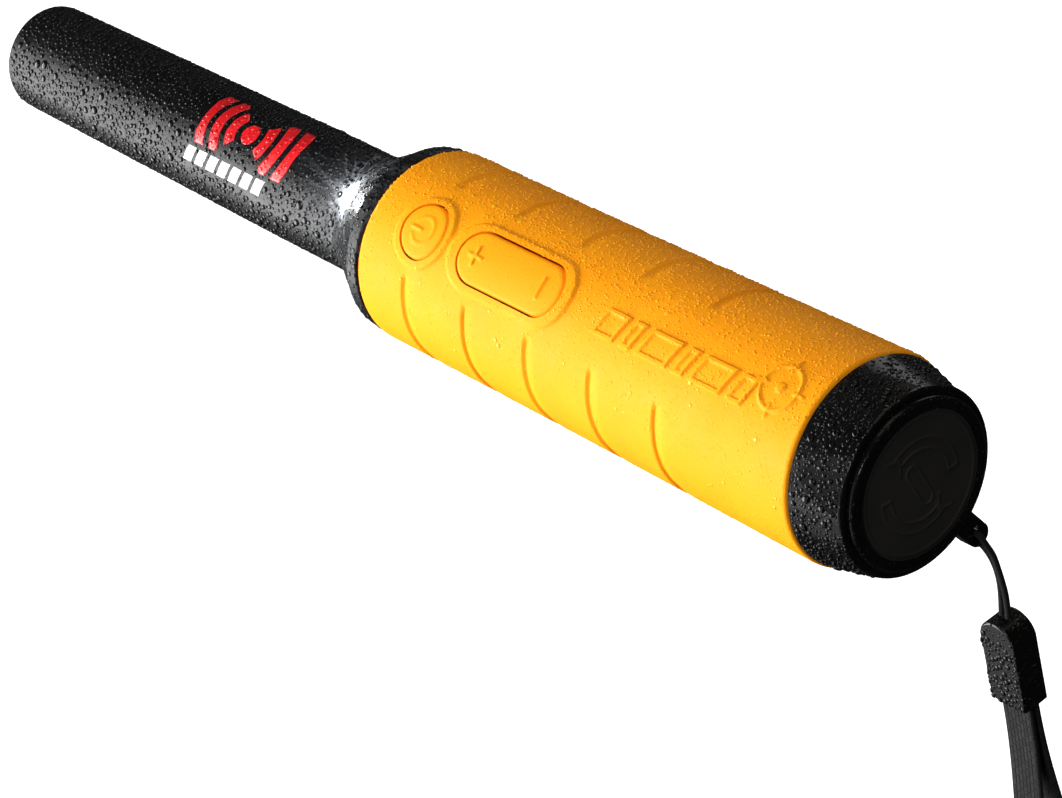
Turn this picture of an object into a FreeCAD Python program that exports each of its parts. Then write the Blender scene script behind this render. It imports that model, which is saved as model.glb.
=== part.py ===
import FreeCAD, Part
import math
import os
import re
import Sketcher

from FreeCAD import Placement, Rotation, Vector

# Handheld pinpointer probe for metal detecting.
# The long axis is X: the sensing tip points to -X and the battery cap to +X.
# The origin is on the axis at the middle of the yellow grip. +Z is up as the lanyard hangs.
# Everything but the lanyard is drawn with its keys facing +Z, then rolled about X by roll_angle.

doc = FreeCAD.newDocument("pinpointer")
os.makedirs("parts", exist_ok=True)

SIZES = {
    "roll_angle": 35,          # keys lean from +Z towards -Y
    "grip_length": 114.4,      # yellow sleeve
    "grip_rear_radius": 18.9,
    "grip_mid_radius": 18.4,
    "grip_front_radius": 18.3,
    "core_radius": 17,         # inner handle housing, outside
    "core_bore": 15.2,         # holds a 9 V block with rounded corners
    "mouth_bore": 16.1,        # wider bore for the cap's plug
    "mouth_depth": 12.5,
    "nose_length": 127,        # grip front edge to sensing tip
    "barrel_radius": 11.55,    # tube behind its taper
    "tip_radius": 10.85,
    "tube_bore": 9.2,
    "tip_wall": 2,
    "straight_length": 22,     # constant radius stretch of the tube
    "flare_length": 15.6,      # grip front edge to the straight tube
    "lip_radius": 17.9,
    "lip_width": 3.2,
    "gap": 0.4,                # visible joint between collar and grip
    "spigot_length": 10,
    "spigot_bore": 13.3,
    "groove_pitch": 17,
    "groove_first": 43.5,      # first finger groove, ahead of the origin
    "groove_count": 5,
    "groove_tool": 1.4,
    "groove_depth": 0.45,
    "groove_start": 33,        # degrees from the key line
    "power_x": -42.2,
    "power_radius": 5.4,
    "rocker_x": -18.2,
    "rocker_half": 13.6,
    "rocker_width": 10.2,
    "key_rim": 1.5,            # raised rim round each key
    "key_gap": 0.35,
    "key_floor": 17.1,         # underside of the keys
    "key_top": 18.85,
    "flat_level": 16.3,        # flat on the housing under the keys
    "post_radius": 1.7,
    "stem_radius": 1.15,
    "post_hole": 2.3,
    "switch_top": 11.6,
    "switch_side": 6,
    "board_top": 8,
    "board_thickness": 1.6,
    "board_length": 46,
    "board_width": 23,
    "tongue_length": 20,
    "tongue_width": 9,
    "battery_length": 45.5,    # PP3 case without its snaps
    "battery_width": 26.2,
    "battery_height": 17.2,
    "battery_corner": 3.2,
    "battery_x": 12,
    "snap_height": 3,
    "snap_pitch": 12.7,
    "cap_length": 11.6,        # visible cap behind the grip
    "cap_radius": 18.5,
    "cap_rib_end": 16.5,       # outside of the ribs where they stop
    "cap_rim_radius": 15.2,    # plain rim round the end disc
    "cap_rim_width": 1.2,
    "cap_scoop_count": 6,
    "cap_scoop_curve": 45,     # radius of the surface that makes each scoop
    "cap_scoop_slope": 19.5,   # degrees that a scoop falls towards the end
    "cap_turn": 4,             # degrees that the ribs and the eye stand round from the key line
    "plug_radius": 15.75,
    "plug_bore": 15,
    "plug_length": 11.5,
    "thread_crest": 15.98,
    "disc_radius": 13.1,
    "disc_depth": 0.9,
    "eye_x": 66.6,
    "eye_radius": 20.3,
    "eye_outer": 22.4,
    "eye_width": 4.4,
    "eye_thickness": 3,
    "eye_slot": 2.2,
    "cord_diameter": 1.1,
    "clamp_width": 8.2,
    "clamp_depth": 5.6,
    "clamp_height": 18,
    "clamp_top": -37.8,
    "lanyard_y": 14,
    "strap_width": 7,
    "strap_thickness": 1.1,
    "led_x": -69.2,
    "led_z": 13,
    "led_tilt": 35,
    "ferrite_radius": 4,
    "ferrite_length": 80,
    "motor_radius": 3,
    "motor_length": 10,
    "motor_x": -43,
    "motor_drop": 0.62,        # the motor's axis below the handle's
    "weight_radius": 2.5,
    "sounder_radius": 10,
    "sounder_height": 3.2,
    "screw_radius": 0.95,
    "screw_head": 1.9,
    "screw_reach": 4.9,        # from the board's top to the screw's end
    "sled_floor": 2.4,
    "sled_front": -43.2,
    "sled_length": 44,
    "bulkhead_width": 2.6,
    "lead_y": 7,
    "lead_hole": 1.4,
    "snap_stud": 2.9,
    "snap_ring": 4.3,
    "snap_bore": 3.1,
    "clip_radius": 4.2,
    "clip_bore": 3,
    "snap_overlap": 0.8,
    "plate_thickness": 1.4,
    "former_radius": 5,
    "former_flange": 8.6,
    "flange_width": 1.5,
    "transmit_radius": 7.6,
    "receive_radius": 7,
    "shield_length": 95,
    "cushion_length": 2.2,
    "lens_radius": 2.28,
    "lens_length": 5,
    "led_radius": 1.5,
    "led_length": 2.2,
    "switch_well": 1.9,
}

sheet = doc.addObject("Spreadsheet::Sheet", "Dim")
for row, (alias, value) in enumerate(SIZES.items(), start=1):
    sheet.set("A%d" % row, alias)
    sheet.set("B%d" % row, str(value))
    sheet.setAlias("B%d" % row, alias)
doc.recompute()

NODES = {}


def bound(text):
    """An expression in which every alias of the sheet is written in full."""
    def spell(match):
        word = match.group(0)
        return "Dim." + word if word in SIZES else word

    return re.sub(r"[a-z_]{2,}", spell, str(text))


def value(text):
    """The number that an expression gives with the sheet's present values."""
    result = sheet.evalExpression(bound(text))
    return float(getattr(result, "Value", result))


def bind(obj, **sizes):
    """Ties each named property of an object to an expression of the sheet."""
    for name, text in sizes.items():
        obj.setExpression(name, bound(text))


def place(obj, at, turn=None):
    """Ties the object's position to three expressions, after an optional turn."""
    if turn:
        obj.Placement.Rotation = turn
    for axis, text in zip("xyz", at):
        obj.setExpression("Placement.Base." + axis, bound(text))
    return obj


ALONG = {
    "X": Rotation(Vector(0, 1, 0), 90),
    "Y": Rotation(Vector(1, 0, 0), -90),
    "Z": Rotation(),
}


def rod(name, radius, length, at, along="X"):
    """A cylinder that starts at a point and runs along one axis."""
    obj = doc.addObject("Part::Cylinder", name)
    bind(obj, Radius=radius, Height=length)
    turn = ALONG[along] if isinstance(along, str) else along
    return place(obj, at, turn)


def block(name, size, at):
    """A box from its low corner."""
    obj = doc.addObject("Part::Box", name)
    bind(obj, Length=size[0], Width=size[1], Height=size[2])
    return place(obj, at)


def join(name, parts):
    obj = doc.addObject("Part::MultiFuse", name)
    obj.Shapes = parts
    obj.Refine = True
    return obj


def cut(name, base, tools):
    tool = tools[0] if len(tools) == 1 else join(name + "_tools", tools)
    obj = doc.addObject("Part::Cut", name)
    obj.Base = base
    obj.Tool = tool
    return obj


def common(name, first, second):
    obj = doc.addObject("Part::Common", name)
    obj.Base = first
    obj.Tool = second
    return obj


def group(name, parts):
    """Identical separate solids that share one node."""
    obj = doc.addObject("Part::Compound", name)
    obj.Links = parts
    return obj


def turned(name, outline, rounds=()):
    """A body turned about X from an outline of (x, radius), with edges rounded by (x, radius, size)."""
    body = doc.addObject("PartDesign::Body", name)
    plane = next(f for f in body.Origin.OriginFeatures if f.Role == "XZ_Plane")
    sketch = body.newObject("Sketcher::SketchObject", name + "_outline")
    sketch.AttachmentSupport = [(plane, "")]
    sketch.MapMode = "FlatFace"
    points = [Vector(value(x), value(r), 0) for x, r in outline]
    for first, second in zip(points, points[1:] + points[:1]):
        sketch.addGeometry(Part.LineSegment(first, second), False)
    for i in range(len(points)):
        after = (i + 1) % len(points)
        sketch.addConstraint(Sketcher.Constraint("Coincident", i, 2, after, 1))
    for i, (x, r) in enumerate(outline):
        for kind, text, number in (("DistanceX", x, points[i].x), ("DistanceY", r, points[i].y)):
            index = sketch.addConstraint(Sketcher.Constraint(kind, -1, 1, i, 1, number))
            sketch.setExpression("Constraints[%d]" % index, bound(text))
    revolution = body.newObject("PartDesign::Revolution", name + "_turned")
    revolution.Profile = sketch
    revolution.ReferenceAxis = (sketch, ["H_Axis"])
    revolution.Angle = 360
    doc.recompute()
    for number, (x, r, size) in enumerate(rounds):
        edges = []
        for k, edge in enumerate(body.Tip.Shape.Edges, start=1):
            curve = edge.Curve
            if curve.TypeId != "Part::GeomCircle":
                continue
            if abs(curve.Center.x - value(x)) < 0.02 and abs(curve.Radius - value(r)) < 0.02:
                edges.append("Edge%d" % k)
        if not edges:
            raise RuntimeError("no edge to round on %s at x = %s" % (name, x))
        solid = body.Tip
        fillet = body.newObject("PartDesign::Fillet", "%s_round%d" % (name, number))
        fillet.Base = (solid, edges)
        fillet.setExpression("Radius", bound(size))
        doc.recompute()
    return body


def stadium(name, x, half, width, low, high):
    """An upright prism with round ends, long side along X, centred on x."""
    ends = [
        rod(name + "_front", "(%s) / 2" % width, "%s - %s" % (high, low),
            ("%s - (%s) + (%s) / 2" % (x, half, width), "0", low), "Z"),
        rod(name + "_rear", "(%s) / 2" % width, "%s - %s" % (high, low),
            ("%s + (%s) - (%s) / 2" % (x, half, width), "0", low), "Z"),
        block(name + "_middle", ("2 * (%s) - (%s)" % (half, width), width, "%s - %s" % (high, low)),
              ("%s - (%s) + (%s) / 2" % (x, half, width), "-(%s) / 2" % width, low)),
    ]
    return join(name, ends)


def keep(node, obj, rolled=True):
    """Registers an object as a sub-part, labelled as its node and rolled with the handle."""
    obj.Label = node
    if rolled:
        turn = Placement(Vector(), Rotation(Vector(1, 0, 0), value("roll_angle")))
        obj.Placement = turn.multiply(obj.Placement)
    NODES[node] = obj


def whole(name, obj):
    """Wraps a primitive whose placement is bound, so that the roll can act on the wrapper."""
    return group(name, [obj])


# ---------------------------------------------------------------- housing

FRONT = "(-grip_length / 2)"
REAR = "(grip_length / 2)"
TIP = "(-grip_length / 2 - nose_length)"


def torch_hole(name, radius, length):
    """A rod on the torch's axis, which leans forward and outward through the flare."""
    turn = Rotation(Vector(0, 1, 0), -90 + value("led_tilt"))
    return rod(name, radius, length, ("led_x + 4 * cos(led_tilt)", "0", "led_z - 4 * sin(led_tilt)"), turn)


def make_probe_tube():
    lip = FRONT + " - gap"
    body = turned("tube_body", [
        (TIP, "0"),
        (TIP, "tip_radius"),
        (FRONT + " - flare_length - straight_length", "barrel_radius"),
        (FRONT + " - flare_length", "barrel_radius"),
        (FRONT + " - gap - lip_width - 0.6", "lip_radius - 0.7"),
        (FRONT + " - gap - lip_width", "lip_radius"),
        (lip, "lip_radius"),
        (lip, "core_bore - 0.05"),
        (FRONT + " + spigot_length", "core_bore - 0.05"),
        (FRONT + " + spigot_length", "spigot_bore"),
        (FRONT + " - 4", "spigot_bore"),
        (FRONT + " - flare_length + 1", "tube_bore"),
        (TIP + " + tip_wall", "tube_bore"),
        (TIP + " + tip_wall", "0"),
    ], [
        (TIP, "tip_radius", "0.9"),
        (FRONT + " - gap - lip_width", "lip_radius", "1.1"),
        (lip, "lip_radius", "0.7"),
        (FRONT + " - flare_length", "barrel_radius", "2.5"),
    ])
    ring_groove = cut("spigot_groove", rod("groove_outer", "core_bore", "2.2", (FRONT + " + 4", "0", "0")),
                      [rod("groove_inner", "core_bore - 1.25", "2.2", (FRONT + " + 4", "0", "0"))])
    keep("probe_tube", cut("probe_tube_cut", body, [torch_hole("torch_seat", "2.3", "9"), ring_groove]))


def make_nose_seal():
    ring = doc.addObject("Part::Torus", "nose_ring")
    bind(ring, Radius1="core_bore - 0.62", Radius2="0.6")
    place(ring, (FRONT + " + 5.1", "0", "0"), ALONG["X"])
    keep("nose_seal_ring", whole("nose_ring_part", ring))


POST_X = ("power_x", "rocker_x - 9", "rocker_x + 9")


def make_handle_core():
    """The inner handle housing: a tube with a flat, three post holes and a rocker ridge under the keys."""
    body = turned("core_body", [
        (FRONT, "core_radius"),
        (REAR, "core_radius"),
        (REAR, "mouth_bore"),
        (REAR + " - mouth_depth", "mouth_bore"),
        (REAR + " - mouth_depth", "core_bore"),
        (FRONT, "core_bore"),
    ])
    flat = block("key_flat", ("46", "13", "3"), ("power_x - 7", "-6.5", "flat_level"))
    holes = [rod("post_hole_%d" % i, "post_hole", "8", (x, "0", "12"), "Z") for i, x in enumerate(POST_X)]
    cored = cut("core_cut", body, [flat] + holes)
    ridge = block("rocker_ridge", ("1.6", "7", "0.85"), ("rocker_x - 0.8", "-3.5", "flat_level - 0.2"))
    keep("handle_core", join("handle_core_all", [cored, ridge]))


def make_grip_sleeve():
    """The soft overmoulded grip: five finger grooves, a raised rim and a window round each key."""
    body = turned("sleeve_body", [
        (FRONT, "core_radius"),
        (FRONT, "grip_front_radius"),
        ("0", "grip_mid_radius"),
        (REAR, "grip_rear_radius"),
        (REAR, "core_radius"),
    ], [
        (FRONT, "grip_front_radius", "1"),
        (REAR, "grip_rear_radius", "0.8"),
    ])
    rims = join("key_rims", [
        rod("power_rim", "power_radius + key_rim", "8", ("power_x", "0", "14"), "Z"),
        stadium("rocker_rim", "rocker_x", "rocker_half + 2.4", "rocker_width + 3.2", "14", "22"),
    ])
    skin = cut("rim_skin", rod("skin_outer", "grip_mid_radius + 0.35", "60", ("power_x - 10", "0", "0")),
               [rod("skin_inner", "core_radius", "60", ("power_x - 10", "0", "0"))])
    raised = join("sleeve_raised", [body, common("key_rim_solid", rims, skin)])
    windows = [
        rod("power_window", "power_radius + key_gap", "12", ("power_x", "0", "12"), "Z"),
        stadium("rocker_window", "rocker_x", "rocker_half + key_gap",
                "rocker_width + 2 * key_gap", "12", "24"),
    ]
    grooves = []
    for i in range(int(value("groove_count"))):
        ring = doc.addObject("Part::Torus", "finger_groove_%d" % i)
        bind(ring, Radius1="grip_mid_radius + groove_tool - groove_depth", Radius2="groove_tool",
             Angle3="360 - 2 * groove_start")
        half_turn = ALONG["X"].multiply(Rotation(Vector(0, 0, 1), 180))
        turn = Rotation(Vector(1, 0, 0), value("groove_start")).multiply(half_turn)
        grooves.append(place(ring, ("groove_pitch * %d - groove_first" % i, "0", "0"), turn))
    keep("grip_sleeve", cut("grip_sleeve_cut", raised, windows + grooves))


def make_keys():
    """Two keys: a flat-bottomed piece of the handle's own round surface."""
    for node, plan in (
        ("power_key", rod("power_plan", "power_radius", "4", ("power_x", "0", "key_floor"), "Z")),
        ("sensitivity_rocker", stadium("rocker_plan", "rocker_x", "rocker_half", "rocker_width",
                                       "key_floor", "key_floor + 4")),
    ):
        dome = rod(node + "_dome", "key_top", "60", ("power_x - 10", "0", "0"))
        keep(node, common(node + "_part", plan, dome))


def post(name, x):
    """A post under a key, with a thinner stem that reaches into its switch."""
    return join(name, [
        rod(name + "_shank", "post_radius", "key_floor - switch_top - 0.9",
            (x, "0", "switch_top + 0.9"), "Z"),
        rod(name + "_stem", "stem_radius", "2.2", (x, "0", "switch_top - 0.4"), "Z"),
    ])


def make_posts():
    keep("power_post", whole("power_post_part", post("post_0", POST_X[0])))
    keep("rocker_posts", group("rocker_posts_pair", [post("post_1", POST_X[1]), post("post_2", POST_X[2])]))


def make_switches():
    """Three tactile switches, each with an open well for its stem."""
    switches = []
    for i, x in enumerate(POST_X):
        side = block("switch_%d" % i, ("switch_side", "switch_side", "switch_top - board_top"),
                     (x + " - switch_side / 2", "-switch_side / 2", "board_top"))
        well = rod("switch_well_%d" % i, "switch_well", "1.9", (x, "0", "switch_top - 1.6"), "Z")
        switches.append(cut("switch_cut_%d" % i, side, [well]))
    keep("key_switches", group("key_switches_set", switches))


# ---------------------------------------------------------------- electronics

BOARD_FRONT = "(-board_length - 0.5)"
BOARD_REAR = "(-0.5)"
BOARD_FLOOR = "(board_top - board_thickness)"
BOARD_SCREWS = (("-43", "9"), ("-43", "-9"), ("-4", "9"), ("-4", "-9"))


def make_board():
    main = block("board_main", ("board_length", "board_width", "board_thickness"),
                 (BOARD_FRONT, "-board_width / 2", BOARD_FLOOR))
    tongue = block("board_tongue", ("tongue_length + 1", "tongue_width", "board_thickness"),
                   (BOARD_FRONT + " - tongue_length", "-tongue_width / 2", BOARD_FLOOR))
    board = join("board_plate", [main, tongue])
    holes = [rod("board_hole_%d" % i, "1.1", "board_thickness + 2", (x, y, BOARD_FLOOR + " - 1"), "Z")
             for i, (x, y) in enumerate(BOARD_SCREWS)]
    keep("main_board", cut("main_board_cut", board, holes))


def make_board_screws():
    """Four self-tapping screws that hold the board to its sled."""
    screws = []
    for i, (x, y) in enumerate(BOARD_SCREWS):
        head = rod("screw_head_%d" % i, "screw_head", "1.2", (x, y, "board_top"), "Z")
        shank = rod("screw_shank_%d" % i, "screw_radius", "5", (x, y, "board_top - screw_reach"), "Z")
        screws.append(join("board_screw_%d" % i, [head, shank]))
    keep("board_screws", group("board_screws_set", screws))


def make_chips():
    controller = block("controller", ("7", "7", "1.4"), ("-34", "4", "board_top"))
    keep("microcontroller", whole("controller_part", controller))
    chips = [block("amplifier_%d" % i, ("5", "4", "1.5"), ("-35 + %d * 12" % i, "-10.5", "board_top"))
             for i in range(3)]
    keep("amplifier_chips", group("amplifier_set", chips))
    cans = [rod("capacitor_%d" % i, "2", "5", ("-20.7 + %d * 5" % i, "0", "board_top"), "Z")
            for i in range(2)]
    keep("capacitors", group("capacitor_set", cans))


def make_sled():
    """The plastic sled: bulkhead, floor, two rails under the board, screw bosses and a motor cradle."""
    bulkhead = rod("bulkhead", "core_bore - 0.1", "bulkhead_width", ("0.6", "0", "0"))
    floor = block("floor_plate", ("sled_length", "board_width", "1.6"),
                  ("sled_front", "-board_width / 2", "sled_floor"))
    sides = ("-board_width / 2", "board_width / 2 - 2")
    rails = [block("sled_rail_%d" % i, ("sled_length", "2", BOARD_FLOOR + " - sled_floor"),
                   ("sled_front", y, "sled_floor")) for i, y in enumerate(sides)]
    bosses = [rod("sled_boss_%d" % i, "2.3", BOARD_FLOOR + " - sled_floor", (x, y, "sled_floor"), "Z")
              for i, (x, y) in enumerate(BOARD_SCREWS)]
    cradle = block("motor_cradle", ("9", "9", "5.6"), ("motor_x + 1", "-4.5", "sled_floor - 5"))
    sled = join("sled_body", [bulkhead, floor] + rails + bosses + [cradle])
    pilots = [rod("sled_pilot_%d" % i, "screw_radius", "9", (x, y, "board_top - screw_reach"), "Z")
              for i, (x, y) in enumerate(BOARD_SCREWS)]
    motor_bed = rod("motor_bed", "motor_radius + 0.02", "20", ("motor_x - 2", "0", "-motor_drop"))
    motor_way = block("motor_way", ("20", "2 * motor_radius", "8"),
                      ("motor_x - 2", "-motor_radius", "-motor_drop - 8"))
    lead_holes = [rod("wire_hole_%d" % i, "lead_hole", "5", ("0", y, BOARD_FLOOR + " + 0.1"))
                  for i, y in enumerate(("-lead_y", "lead_y"))]
    keep("board_sled", cut("board_sled_cut", sled, pilots + [motor_bed, motor_way] + lead_holes))


def make_motor():
    """The vibration motor, and the half-round weight on its shaft."""
    can = rod("motor_can", "motor_radius", "motor_length", ("motor_x", "0", "-motor_drop"))
    keep("vibration_motor", whole("motor_part", can))
    front = "motor_x + motor_length"
    disc = rod("weight_disc", "weight_radius", "3", (front + " + 0.6", "0", "-motor_drop"))
    half = block("weight_half", ("5", "6", "3"), (front, "-3", "0.6 - motor_drop"))
    shaft = rod("weight_shaft", "0.5", "3.6", (front, "0", "-motor_drop"))
    keep("motor_weight", join("motor_weight_all", [cut("weight_cut", disc, [half]), shaft]))


def make_sounder():
    disc = rod("sounder_disc", "sounder_radius", "sounder_height",
               ("-14", "0", "sled_floor - sounder_height"), "Z")
    keep("piezo_sounder", whole("sounder_part", disc))


def make_battery():
    """A PP3 block with its two snaps, the snap contacts and the plate they stand on."""
    case = block("battery_box", ("battery_length", "battery_width", "battery_height"),
                 ("battery_x", "-battery_width / 2", "-battery_height / 2"))
    doc.recompute()
    rounded = doc.addObject("Part::Fillet", "battery_rounded")
    rounded.Base = case
    edges = []
    for k, edge in enumerate(case.Shape.Edges, start=1):
        run = edge.Vertexes[1].Point - edge.Vertexes[0].Point
        if abs(run.x) > 1:
            edges.append((k, value("battery_corner"), value("battery_corner")))
    rounded.Edges = edges
    keep("battery_block", rounded)
    snap = "battery_x - snap_height"
    stud_y, ring_y = "-snap_pitch / 2", "snap_pitch / 2"
    stud = rod("stud", "snap_stud", "snap_height", (snap, stud_y, "0"))
    ring = cut("ring", rod("ring_outer", "snap_ring", "snap_height", (snap, ring_y, "0")),
               [rod("ring_inner", "snap_bore", "snap_height", (snap, ring_y, "0"))])
    keep("battery_snaps", group("battery_snaps_pair", [stud, ring]))
    contact = snap + " - snap_overlap"
    clip = cut("contact_clip", rod("clip_outer", "clip_radius", "snap_height", (contact, stud_y, "0")),
               [rod("clip_inner", "clip_bore", "snap_height", (contact, stud_y, "0"))])
    plug = rod("contact_stud", "clip_bore", "snap_height", (contact, ring_y, "0"))
    keep("snap_contacts", group("snap_contacts_pair", [clip, plug]))
    plate = block("contact_plate_box", ("plate_thickness", "24", "14"),
                  (contact + " - plate_thickness", "-12", "-7"))
    keep("contact_plate", whole("contact_plate_part", plate))


def make_torch():
    """The white LED in the flare and the clear lens in front of it."""
    lens = torch_hole("lens_rod", "lens_radius", "lens_length")
    back = torch_hole("lens_back", "led_radius + 0.1", "led_length")
    keep("torch_lens", cut("torch_lens_cut", lens, [back]))
    keep("torch_led", whole("torch_led_part", torch_hole("led_rod", "led_radius", "led_length")))


FLANGE_STEPS = ("0", "32", "37", "62", "76.5")


def make_sensor():
    """The ferrite rod in its coil former, two windings, the shield, and the cushion at the tip."""
    front = TIP + " + tip_wall + cushion_length"
    core = rod("ferrite", "ferrite_radius", "ferrite_length", (front, "0", "0"))
    keep("ferrite_rod", whole("ferrite_part", core))
    former = [rod("former_barrel", "former_radius", "ferrite_length", (front, "0", "0"))]
    for i, step in enumerate(FLANGE_STEPS):
        former.append(rod("flange_%d" % i, "former_flange", "flange_width",
                          (front + " + " + step, "0", "0")))
    bore = rod("former_bore", "ferrite_radius + 0.03", "ferrite_length", (front, "0", "0"))
    keep("coil_former", cut("coil_former_cut", join("former_all", former), [bore]))
    for node, low, high, radius in (
        ("transmit_winding", FLANGE_STEPS[0], FLANGE_STEPS[1], "transmit_radius"),
        ("receive_winding", FLANGE_STEPS[2], FLANGE_STEPS[3], "receive_radius"),
    ):
        start = front + " + " + low + " + flange_width"
        length = high + " - " + low + " - flange_width"
        outer = rod(node + "_outer", radius, length, (start, "0", "0"))
        inner = rod(node + "_inner", "former_radius", length, (start, "0", "0"))
        keep(node, cut(node + "_cut", outer, [inner]))
    shield = cut("shield_cut", rod("shield_outer", "tube_bore - 0.05", "shield_length", (front, "0", "0")),
                 [rod("shield_inner", "tube_bore - 0.35", "shield_length", (front, "0", "0"))])
    keep("probe_shield", shield)
    pad = rod("tip_pad", "tube_bore - 0.1", "cushion_length", (TIP + " + tip_wall", "0", "0"))
    keep("tip_cushion", whole("tip_cushion_part", pad))


# ---------------------------------------------------------------- leads

def route_edges(points):
    """Straight runs joined by tangent arcs, each as large as its two runs allow. Gives edges and radii."""
    edges, radii = [], []
    start = points[0]
    for i in range(1, len(points) - 1):
        before, after = points[i] - points[i - 1], points[i + 1] - points[i]
        turn = before.getAngle(after)
        trim = 0.45 * min(before.Length, after.Length)
        radius = trim / math.tan(turn / 2)
        u, v = Vector(before).normalize(), Vector(after).normalize()
        enter, leave = points[i] - u * trim, points[i] + v * trim
        inward = (v - u).normalize()
        centre = points[i] + inward * (radius / math.cos(turn / 2))
        middle = centre - inward * radius
        edges.append(Part.LineSegment(start, enter).toShape())
        edges.append(Part.Arc(enter, middle, leave).toShape())
        radii.append(radius)
        start = leave
    edges.append(Part.LineSegment(start, points[-1]).toShape())
    return edges, radii


def tube_along(name, points, radius):
    """A round wire or cord along a route, with its radii printed and its volume compared."""
    edges, radii = route_edges(points)
    path = Part.Wire(edges)
    run = points[1] - points[0]
    section = Part.Wire([Part.makeCircle(radius, points[0], run)])
    solid = path.makePipeShell([section], True, False)
    expected = math.pi * radius ** 2 * path.Length
    print("%s: length %.1f, least radius %.1f, volume ratio %.4f"
          % (name, path.Length, min(radii), solid.Volume / expected))
    return solid


def make_leads():
    """The battery's two leads and the coils' four leads, held inside the housing."""
    plate = value("battery_x - snap_height - snap_overlap - plate_thickness")
    side = value("lead_y")
    middle = value(BOARD_FLOOR + " + board_thickness / 2")
    leads = []
    for y in (-side, side):
        leads.append(tube_along("battery lead", [
            Vector(plate, y, middle - 1.4),
            Vector(plate - 2, y, middle - 1.4),
            Vector(1.6, y, middle),
            Vector(value(BOARD_REAR), y, middle),
        ], 0.45))
    add_solids("battery_leads", leads)
    coil = value(TIP + " + tip_wall + cushion_length + ferrite_length")
    tongue = value(BOARD_FRONT + " - tongue_length")
    leads = []
    for y in (-3, -1, 1, 3):
        leads.append(tube_along("coil lead", [
            Vector(coil, y * 0.6, 6),
            Vector(coil + 5, y * 0.6, 6),
            Vector(coil + 12, y * 0.8, 4.4),
            Vector(coil + 19, y, 4.9),
            Vector(coil + 27, y, middle),
            Vector(tongue, y, middle),
        ], 0.3))
    add_solids("coil_leads", leads)


def add_solids(node, solids, rolled=True):
    """Keeps ready solids as one sub-part."""
    obj = doc.addObject("Part::Feature", node + "_shape")
    obj.Shape = Part.makeCompound(solids) if len(solids) > 1 else solids[0]
    keep(node, obj, rolled)


# ---------------------------------------------------------------- battery cap

def make_cap():
    """The screw cap: scooped grip, ribs, plug with thread crests, end recess and the lanyard's eye."""
    crest = []
    for i in range(3):
        start = REAR + " - %s" % (9.6 - 2.4 * i)
        crest += [
            (start, "plug_radius"),
            (start + " + 0.5", "thread_crest"),
            (start + " + 1", "thread_crest"),
            (start + " + 1.5", "plug_radius"),
        ]
    end = "(grip_length / 2 + cap_length)"
    body = turned("cap_body", [
        (REAR + " - plug_length", "plug_bore"),
        (REAR + " - plug_length", "plug_radius"),
    ] + crest + [
        (REAR + " + 0.15", "plug_radius"),
        (REAR + " + 0.15", "cap_radius"),
        (end + " - cap_rim_width", "cap_rib_end"),
        (end + " - cap_rim_width", "cap_rim_radius"),
        (end, "cap_rim_radius"),
        (end, "disc_radius + 0.05"),
        (end + " - disc_depth", "disc_radius + 0.05"),
        (end + " - disc_depth", "0"),
        (REAR + " + 6", "0"),
        (REAR + " + 6", "plug_bore"),
    ], [
        (end + " - cap_rim_width", "cap_rib_end", "0.7"),
        (end, "cap_rim_radius", "0.9"),
    ])
    slope = value("cap_scoop_slope")
    reach = value("cap_radius + cap_scoop_curve / cos(cap_scoop_slope)")
    scoops = []
    for i in range(int(value("cap_scoop_count"))):
        turn = Rotation(Vector(1, 0, 0), 360 / value("cap_scoop_count") * (i + 0.5) - value("cap_turn"))
        tool = doc.addObject("Part::Cylinder", "cap_scoop_%d" % i)
        bind(tool, Radius="cap_scoop_curve", Height="40")
        lean = Rotation(Vector(0, 1, 0), 90 + slope)
        start = Vector(value(REAR + " + 0.9"), 0, reach) - lean.multVec(Vector(0, 0, 15))
        tool.Placement = Placement(turn.multVec(start), turn.multiply(lean))
        scoops.append(tool)
    groove = cut("cap_groove", rod("cap_groove_outer", "mouth_bore", "1.6", (REAR + " - 2", "0", "0")),
                 [rod("cap_groove_inner", "plug_radius - 0.55", "1.6", (REAR + " - 2", "0", "0"))])
    scooped = cut("cap_scooped", body, scoops + [groove])
    lug = block("eye_lug", ("eye_thickness", "eye_width", "eye_radius - 14.4"),
                ("eye_x - eye_thickness / 2", "-eye_width / 2", "-eye_radius"))
    tail = rod("eye_end", "eye_width / 2", "eye_thickness",
               ("eye_x - eye_thickness / 2", "0", "-eye_outer + eye_width / 2"))
    slot = join("eye_slot_tool", [
        rod("eye_slot_low", "eye_slot / 2", "8", ("eye_x - 4", "0", "-eye_outer + 1.1 + eye_slot / 2")),
        rod("eye_slot_high", "eye_slot / 2", "8", ("eye_x - 4", "0", "-eye_outer + 2.5 + eye_slot / 2")),
        block("eye_slot_mid", ("8", "eye_slot", "1.4"),
              ("eye_x - 4", "-eye_slot / 2", "-eye_outer + 1.1 + eye_slot / 2")),
    ])
    eye = cut("eye", join("eye_solid", [lug, tail]), [slot])
    eye.Placement = Placement(Vector(), Rotation(Vector(1, 0, 0), -value("cap_turn")))
    keep("battery_cap", join("battery_cap_all", [scooped, eye]))


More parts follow.
